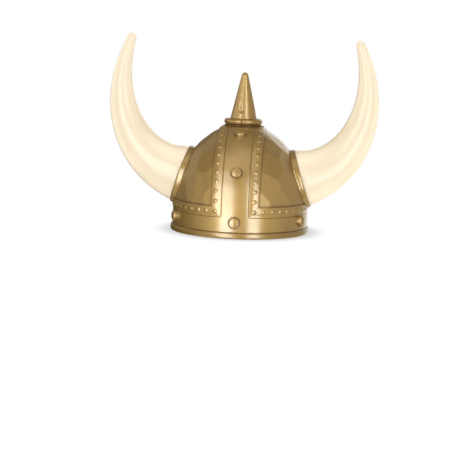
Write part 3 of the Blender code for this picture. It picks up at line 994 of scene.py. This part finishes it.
def horn_rings(side, wall, steps, sides):
    """Rings of points along one horn, from its base inside the socket to its round tip."""
    own = sizes()
    linear, squared = HORN_TURN
    step = (own.horn_length + HORN_OVERRUN) / steps
    heading = radians(HORN_HEADING)
    centre = SOCKET_CENTRE - HORN_OVERRUN * Vector((cos(heading), 0, sin(heading)))
    stations = []
    for number in range(steps + 1):
        along = number * step - HORN_OVERRUN
        share = max(0.0, (along - HORN_STRAIGHT) / (own.horn_length - HORN_STRAIGHT))
        radius = own.horn_tip + (own.horn_base - own.horn_tip) * (1 - share**HORN_TAPER)
        forward = HORN_SWEEP * max(0.0, along / own.horn_length) ** 2
        stations.append((centre - Vector((0, forward, 0)), radius - wall))
        halfway = max(0.0, (along + step / 2) / own.horn_length)
        heading = radians(HORN_HEADING + linear * halfway + squared * halfway**2)
        centre = centre + step * Vector((cos(heading), 0, sin(heading)))
    tip_centre, tip_radius = stations[-1]
    end = (tip_centre - stations[-2][0]).normalized()
    for lean in range(10, 90, 10):
        angle = radians(lean)
        stations.append((tip_centre + end * tip_radius * sin(angle), tip_radius * cos(angle)))
    axis, _, _ = side_axes(1)
    rings = []
    for number, (centre, radius) in enumerate(stations):
        before = stations[max(0, number - 1)][0]
        after = stations[min(len(stations) - 1, number + 1)][0]
        along = (after - before).normalized()
        across = Vector((0, -1, 0))
        across = (across - along * across.dot(along)).normalized()
        over = along.cross(across)
        ring = []
        for angle in even_angles(sides):
            point = centre + (across * cos(angle) + over * sin(angle)) * radius
            behind = (point - SOCKET_CENTRE).dot(axis) + HORN_TENON
            if behind < 0:
                point = point - along * behind / along.dot(axis)
            ring.append(Vector((side * point.x, point.y, point.z)))
        rings.append(ring)
    tip = tip_centre + end * tip_radius
    return rings, Vector((side * tip.x, tip.y, tip.z))


class HELMET_OT_horns(bpy.types.Operator):
    """Two curved hollow horns with round tips"""

    bl_idname = "helmet.horns"
    bl_label = "Horns"

    steps = 130
    sides = 72

    def execute(self, context):
        for name, side in SIDES:
            shape = bmesh.new()
            bases = []
            for wall, steps in ((0.0, self.steps), (HORN_WALL, self.steps // 4)):
                rings, tip = horn_rings(side, wall, steps, self.sides)
                add_cap(shape, add_grid(shape, rings, ring=True)[-1], tip)
                bases.append(rings[0])
            add_grid(shape, bases, ring=True)
            make_piece("horn_" + name, shape, cream_plastic())
        return {"FINISHED"}


# -------- collar and spike
class HELMET_OT_collar(bpy.types.Operator):
    """Round collar under the spike, with a parting notch at the front"""

    bl_idname = "helmet.collar"
    bl_label = "Collar"

    columns = 160
    notch_turn = radians(-2.5)
    notch_width = 0.0005
    notch_depth = 0.0008
    # Painted shade in the parting notch.
    notch_painted_shade = 0.6
    neck = 0.0205  # radius of the hidden part between the bead and the dome
    neck_depth = 0.0048  # how far the neck reaches below the dome's top
    seat_height = 0.0024  # of the spike's seat, above the bead's middle
    settled = 0.0003  # how far it sits down into the gap above the band
    middle = 0.001  # radius of its innermost ring
    middle_depth = 0.0008  # of its underside's middle below the dome's top
    notch_steps = 8  # columns on each side of the notch's middle
    notch_share = 0.35  # of the notch's width between two of them
    neck_share = 0.3  # of the bead's radius, inside which the notch doesn't cut
    # Painted shade for each row of the profile: dark at the spike's seat and under the bead, a
    # little over its face to dim its highlights.
    painted_shades = [1.0, 0.9, 0.5, 0.2] + [0.12] * 17 + [0.3, 0.5, 0.7] + [0.85] * 7

    def execute(self, context):
        bead = (COLLAR_HIGH.z - COLLAR_LOW.z) / 2
        height = (COLLAR_HIGH.z + COLLAR_LOW.z) / 2 - self.settled
        radius = COLLAR_HIGH.x - bead
        seat = height + self.seat_height
        seat_turn = 180 - degrees(asin(self.seat_height / bead))
        crown = sizes().crown
        profile = [(self.middle, seat)] + arc((radius, height), (bead, bead), seat_turn, -130, 26)
        profile += [(self.neck, height - bead), (self.neck, crown - self.neck_depth)]
        profile.append((self.middle, crown - self.middle_depth))
        pitch = self.notch_width / radius * self.notch_share
        steps = self.notch_steps
        angles = even_angles(self.columns)
        angles = [angle for angle in angles if abs(self.from_notch(angle)) > (steps + 1) * pitch]
        angles += [(self.notch_turn + step * pitch) % (2 * pi) for step in range(-steps, steps + 1)]
        angles.sort()
        rows = []
        for reach, level in profile:
            row = []
            for angle in angles:
                if reach > radius - bead * self.neck_share:
                    off = self.from_notch(angle) * radius / self.notch_width
                    row.append(radial(reach - self.notch_depth * exp(-off * off), angle, level))
                else:
                    row.append(radial(reach, angle, level))
            rows.append(row)
        shape = new_shape()
        for row in add_closed(shape, rows, seat, profile[-1][1], self.painted_shades):
            for vertex, angle in zip(row, angles):
                if abs(self.from_notch(angle)) * radius < self.notch_width:
                    vertex[shape.verts.layers.float["crease"]] = self.notch_painted_shade
        make_piece("collar", shape, gold_plastic(), sharp=ROUND_SHARP_ANGLE)
        return {"FINISHED"}

    def from_notch(self, angle):
        """Signed angle from the notch, between minus and plus half a turn."""
        return (angle - self.notch_turn + pi) % (2 * pi) - pi


class HELMET_OT_spike(bpy.types.Operator):
    """Cone spike with a round tip and four shallow flutes"""

    bl_idname = "helmet.spike"
    bl_label = "Spike"

    columns = 192
    rows = 150
    edge = 0.0003  # of the bevel round its base
    tip_radius = 0.0039
    foot_height = 0.0006  # of the narrower foot that it stands on
    foot_step = 0.0014  # how far the foot stands back
    flutes = 4
    turn = radians(-9)  # of the front flute from the front
    flute_low = 0.1378
    flute_high = 0.1730
    flute_half_width = 0.0034
    flute_narrowing = 0.90  # share of its width that a flute loses on the way up
    flute_depth = 0.0016
    flute_fade = 0.7  # power of the height left, by which a flute fades upwards
    flute_round = 0.6  # power that rounds a flute's floor

    def execute(self, context):
        base = SPIKE_HIGH.x
        low, high = SPIKE_LOW.z, SPIKE_HIGH.z
        lean = degrees(atan((base - self.tip_radius) / (high - low)))
        tip = arc((0, high - self.tip_radius), (self.tip_radius,) * 2, lean, 84, 8)
        lifted = low + self.foot_height
        profile = [(base - self.foot_step, low), (base - self.foot_step, lifted)]
        profile += [(base - self.edge, lifted), (base, lifted + self.edge)]
        foot, shoulder = Vector(profile[-1]), Vector(tip[0])
        profile += [foot.lerp(shoulder, row / self.rows) for row in range(1, self.rows)] + tip
        angles = even_angles(self.columns)
        rows = [
            [radial(reach - self.flute_at(angle, reach, height), angle, height) for angle in angles]
            for reach, height in profile
        ]
        shape = new_shape()
        # Painted shade on the narrow foot and the bevel's underside, under the spike's edge.
        add_closed(shape, rows, low, high, painted_shades=(1.0, 1.0, 0.6))
        make_piece("spike", shape, gold_plastic())
        return {"FINISHED"}

    def flute_at(self, angle, radius, height):
        """Depth of the flutes at a point of the cone."""
        pitch = 2 * pi / self.flutes
        across = ((angle - self.turn + pitch / 2) % pitch - pitch / 2) * radius
        rise = max(0.0, (height - self.flute_low) / (self.flute_high - self.flute_low))
        below = max(0.0, self.flute_low - height)
        half_width = self.flute_half_width * (1 - self.flute_narrowing * rise)
        if rise > 1 or hypot(across, below) >= half_width:
            return 0.0
        reach = hypot(across, below) / half_width
        floor = (1 - reach**2) ** self.flute_round
        return self.flute_depth * (1 - rise) ** self.flute_fade * floor


# -------- studio
class HELMET_OT_stage(bpy.types.Operator):
    """Pale floor, soft light and the camera"""

    bl_idname = "helmet.stage"
    bl_label = "Studio"

    azimuth = radians(4.0)
    elevation = radians(6.536)
    roll = radians(2.0)
    distance = 2.179
    lens = 151.6
    aim = (-0.0169817, 0.0049103)  # what the camera looks at, right of and above the origin
    floor_radius = 10.0  # of its flat middle
    floor_curve = 2.0  # radius of its curve up into the backdrop
    backdrop_top = 8.0
    light_distance = 1.5
    fill_back = 0.1  # how far the flat fills stand back
    softboxes = (  # name, what it lights, degrees off the front, height, width, tallness, watts
        ("left_low_softbox", "gold", -19.5, -0.33, 0.68, 0.75, 9.1),
        ("left_high_softbox", "gold", -24.5, 0.47, 0.90, 0.85, 10.4),
        ("left_top_softbox", "dome", -28.0, 1.28, 0.76, 0.75, 3.6),
        ("right_softbox", "gold", 33.0, 0.0, 0.58, 1.35, 12.0),
        ("right_top_softbox", "dome", 33.0, 1.0, 0.58, 0.62, 3.4),
        ("left_spike_softbox", "spike", -29.0, 0.45, 0.42, 0.9, 6.6),
        ("right_spike_softbox", "spike", 33.0, 0.45, 0.42, 0.9, 6.0),
        ("left_spike_fill", "spike", -72.0, 0.50, 2.2, 1.4, 7.2),
        ("right_spike_fill", "spike", 20.0, 0.75, 2.2, 1.7, 12.2),
        ("left_horn_softbox", "horns", -22.0, 0.10, 0.60, 1.7, 13.6),
        ("right_horn_softbox", "horns", 33.0, 0.10, 0.58, 1.5, 10.9),
        ("left_horn_fill", "horns", -105.0, 0.0, 1.4, 1.8, 12.2),
        ("right_horn_fill", "horns", 105.0, 0.0, 1.4, 1.8, 10.5),
    )
    flat_fills = (  # name, what it lights, height, size, watts
        ("top_horn_fill", "horns", 1.5, 2.0, 14.5),
        ("low_horn_fill", "horns", -1.2, 2.0, 14.0),
    )
    lit_pieces = {  # how the names of the pieces start that each light reaches
        "gold": ("shell", "band", "frame", "rim", "rivet", "socket"),
        "dome": ("shell", "band", "frame", "rivet", "collar"),
        "spike": ("spike", "collar"),
        "horns": ("horn",),
    }
    tints = {"gold": (1.0, 0.99, 0.94), "spike": (1.0, 0.89, 0.64)}  # the rest is white

    def execute(self, context):
        self.make_camera()
        self.make_floor()
        self.make_sky()
        self.make_lights()
        context.scene.view_settings.view_transform = "Standard"
        return {"FINISHED"}

    def make_camera(self):
        data = bpy.data.cameras.new("camera")
        data.lens = self.lens
        back = radial(cos(self.elevation), self.azimuth, sin(self.elevation))
        right = Vector((cos(self.azimuth), sin(self.azimuth), 0))
        target = right * self.aim[0] + back.cross(right) * self.aim[1]
        place = back * self.distance
        camera = link_facing("camera", data, place, target - place, self.roll)
        bpy.context.scene.camera = camera

    def make_floor(self):
        """A floor that curves up into a backdrop, glowing evenly but with a painted shadow darker
        under the helmet, for the camera only.
        """
        flat, curve = self.floor_radius, self.floor_curve
        profile = [(flat * step / 20, 0.0) for step in range(1, 21)]
        profile += arc((flat, curve), (curve, curve), -90, 0, 16)[1:]
        profile.append((flat + curve, self.backdrop_top))
        shape = bmesh.new()
        add_cap(shape, add_grid(shape, turned_rows(profile, 96), ring=True)[0], Vector((0, 0, 0)))
        floor = new_object("studio_floor", shape)
        floor.data.shade_smooth()
        material, graph = new_graph("studio_floor")
        across, along, _ = graph.parts(graph.place())
        from_rim = ((across / BEAD_HIGH.x) ** 2 + (along / BEAD_HIGH.y) ** 2) ** 0.5
        # Painted shadow: the floor's glow dims towards the helmet's rim.
        glow_with_painted_shadow = graph.step(from_rim, 0.92, 1.30) * 0.35 + 0.65
        graph.surface(
            Base_Color=(0.0, 0.0, 0.0, 1.0),
            Roughness=1.0,
            Specular_IOR_Level=0.0,
            Emission_Color=graph.combine(glow_with_painted_shadow, glow_with_painted_shadow, glow_with_painted_shadow),
            Emission_Strength=1.0,
        )
        floor.data.materials.append(material)
        for ray in ("glossy", "diffuse", "transmission", "shadow"):
            setattr(floor, "visible_" + ray, False)

    def make_sky(self):
        """The studio's own light, by the angles off the front and above the horizon, in degrees."""
        world = bpy.data.worlds.new("studio")
        bpy.context.scene.world = world
        world.use_nodes = True
        graph = Graph(world.node_tree)
        place = graph.node("TexCoord", output="Generated")
        across, along, up = graph.parts(place)
        step = graph.step
        around = graph.math("ARCTAN2", across, along * -1.0) * (180 / pi)
        above = graph.math("ARCSINE", up) * (180 / pi)
        right = step(around, 50.0, 80.0) * step(above, 50.0, 26.0)
        right = right * (step(around, 125.0, 90.0) * 0.07 + 0.41)
        left = step(around, -42.0, -58.0) * step(around, -168.0, -130.0)
        left = left * step(above, 48.0, 20.0) * 0.36
        left = left * graph.largest(step(around, -100.0, -80.0), step(above, -4.0, 8.0))
        back_left = step(around, -112.0, -135.0) * step(above, 8.0, 28.0) * 0.20
        below = step(above, -22.0, -45.0) * 0.30
        behind = step(abs(around + 11.0), 153.0, 171.0) * step(abs(above), 40.0, 20.0)
        overhead = step(above, 40.0, 65.0)
        room = 0.04 + right + left + back_left + below
        room = room + (1.3 - room) * behind
        room = room + (0.30 + step(abs(around), 110.0, 40.0) * 0.75 - room) * overhead
        warmth = 1.0 - behind
        green, blue = room * (1.0 - warmth * 0.13), room * (1.0 - warmth * 0.38)
        shade = graph.combine(room, green, blue)
        background = graph.node("Background", None, {"Color": shade, "Strength": 1.0})
        graph.node("OutputWorld", None, {"Surface": background})

    def make_lights(self):
        for name, lit, around, height, width, tall, power in self.softboxes:
            place = radial(self.light_distance, radians(around), 0)
            self.add_softbox(name, lit, place + Vector((0, 0, height)), -place, width, tall, power)
        for name, lit, height, size, power in self.flat_fills:
            place = Vector((0, self.fill_back, height))
            self.add_softbox(name, lit, place, Vector((0, 0, -height)), size, size, power)
        for horn in self.pieces_of("horns").objects:
            horn.visible_glossy = False

    def add_softbox(self, name, lit, place, facing, width, tall, power):
        """A rectangular light that only reaches some of the pieces."""
        data = bpy.data.lights.new(name, "AREA")
        data.shape = "RECTANGLE"
        data.size, data.size_y = width, tall
        data.energy = power
        data.color = self.tints.get(lit, (1.0, 1.0, 1.0))
        light = link_facing(name, data, place, facing)
        light.visible_camera = False
        light.light_linking.receiver_collection = self.pieces_of(lit)

    def pieces_of(self, lit):
        """The pieces that a light is meant for, as a collection."""
        name = "lit_" + lit
        found = bpy.data.collections.get(name)
        if not found:
            found = bpy.data.collections.new(name)
            for piece in bpy.data.objects:
                if piece.name.endswith("_dressed") and piece.name.startswith(self.lit_pieces[lit]):
                    found.objects.link(piece)
        return found


# -------- panel and registration
OPERATORS = (
    HELMET_OT_shell,
    HELMET_OT_band,
    HELMET_OT_frames,
    HELMET_OT_rim,
    HELMET_OT_rivets,
    HELMET_OT_sockets,
    HELMET_OT_horns,
    HELMET_OT_collar,
    HELMET_OT_spike,
    HELMET_OT_stage,
)


class HELMET_PT_panel(bpy.types.Panel):
    """Lists the helmet's pieces in the sidebar"""

    bl_idname = "HELMET_PT_panel"
    bl_label = "Viking Helmet"
    bl_space_type = "VIEW_3D"
    bl_region_type = "UI"
    bl_category = "Helmet"

    def draw(self, context):
        for group in (context.scene.helmet_sizes, context.scene.helmet_colours):
            column = self.layout.column(align=True)
            for name in group.__annotations__:
                column.prop(group, name)
        for operator in OPERATORS:
            self.layout.operator(operator.bl_idname)


CLASSES = (HelmetSizes, HelmetColours, *OPERATORS, HELMET_PT_panel)


def register():
    for cls in CLASSES:
        bpy.utils.register_class(cls)
    bpy.types.Scene.helmet_sizes = bpy.props.PointerProperty(type=HelmetSizes)
    bpy.types.Scene.helmet_colours = bpy.props.PointerProperty(type=HelmetColours)


def unregister():
    del bpy.types.Scene.helmet_colours
    del bpy.types.Scene.helmet_sizes
    for cls in reversed(CLASSES):
        bpy.utils.unregister_class(cls)


def main():
    register()
    for operator in OPERATORS:
        getattr(bpy.ops.helmet, operator.bl_idname.removeprefix("helmet."))()


if __name__ == "__main__":
    main()
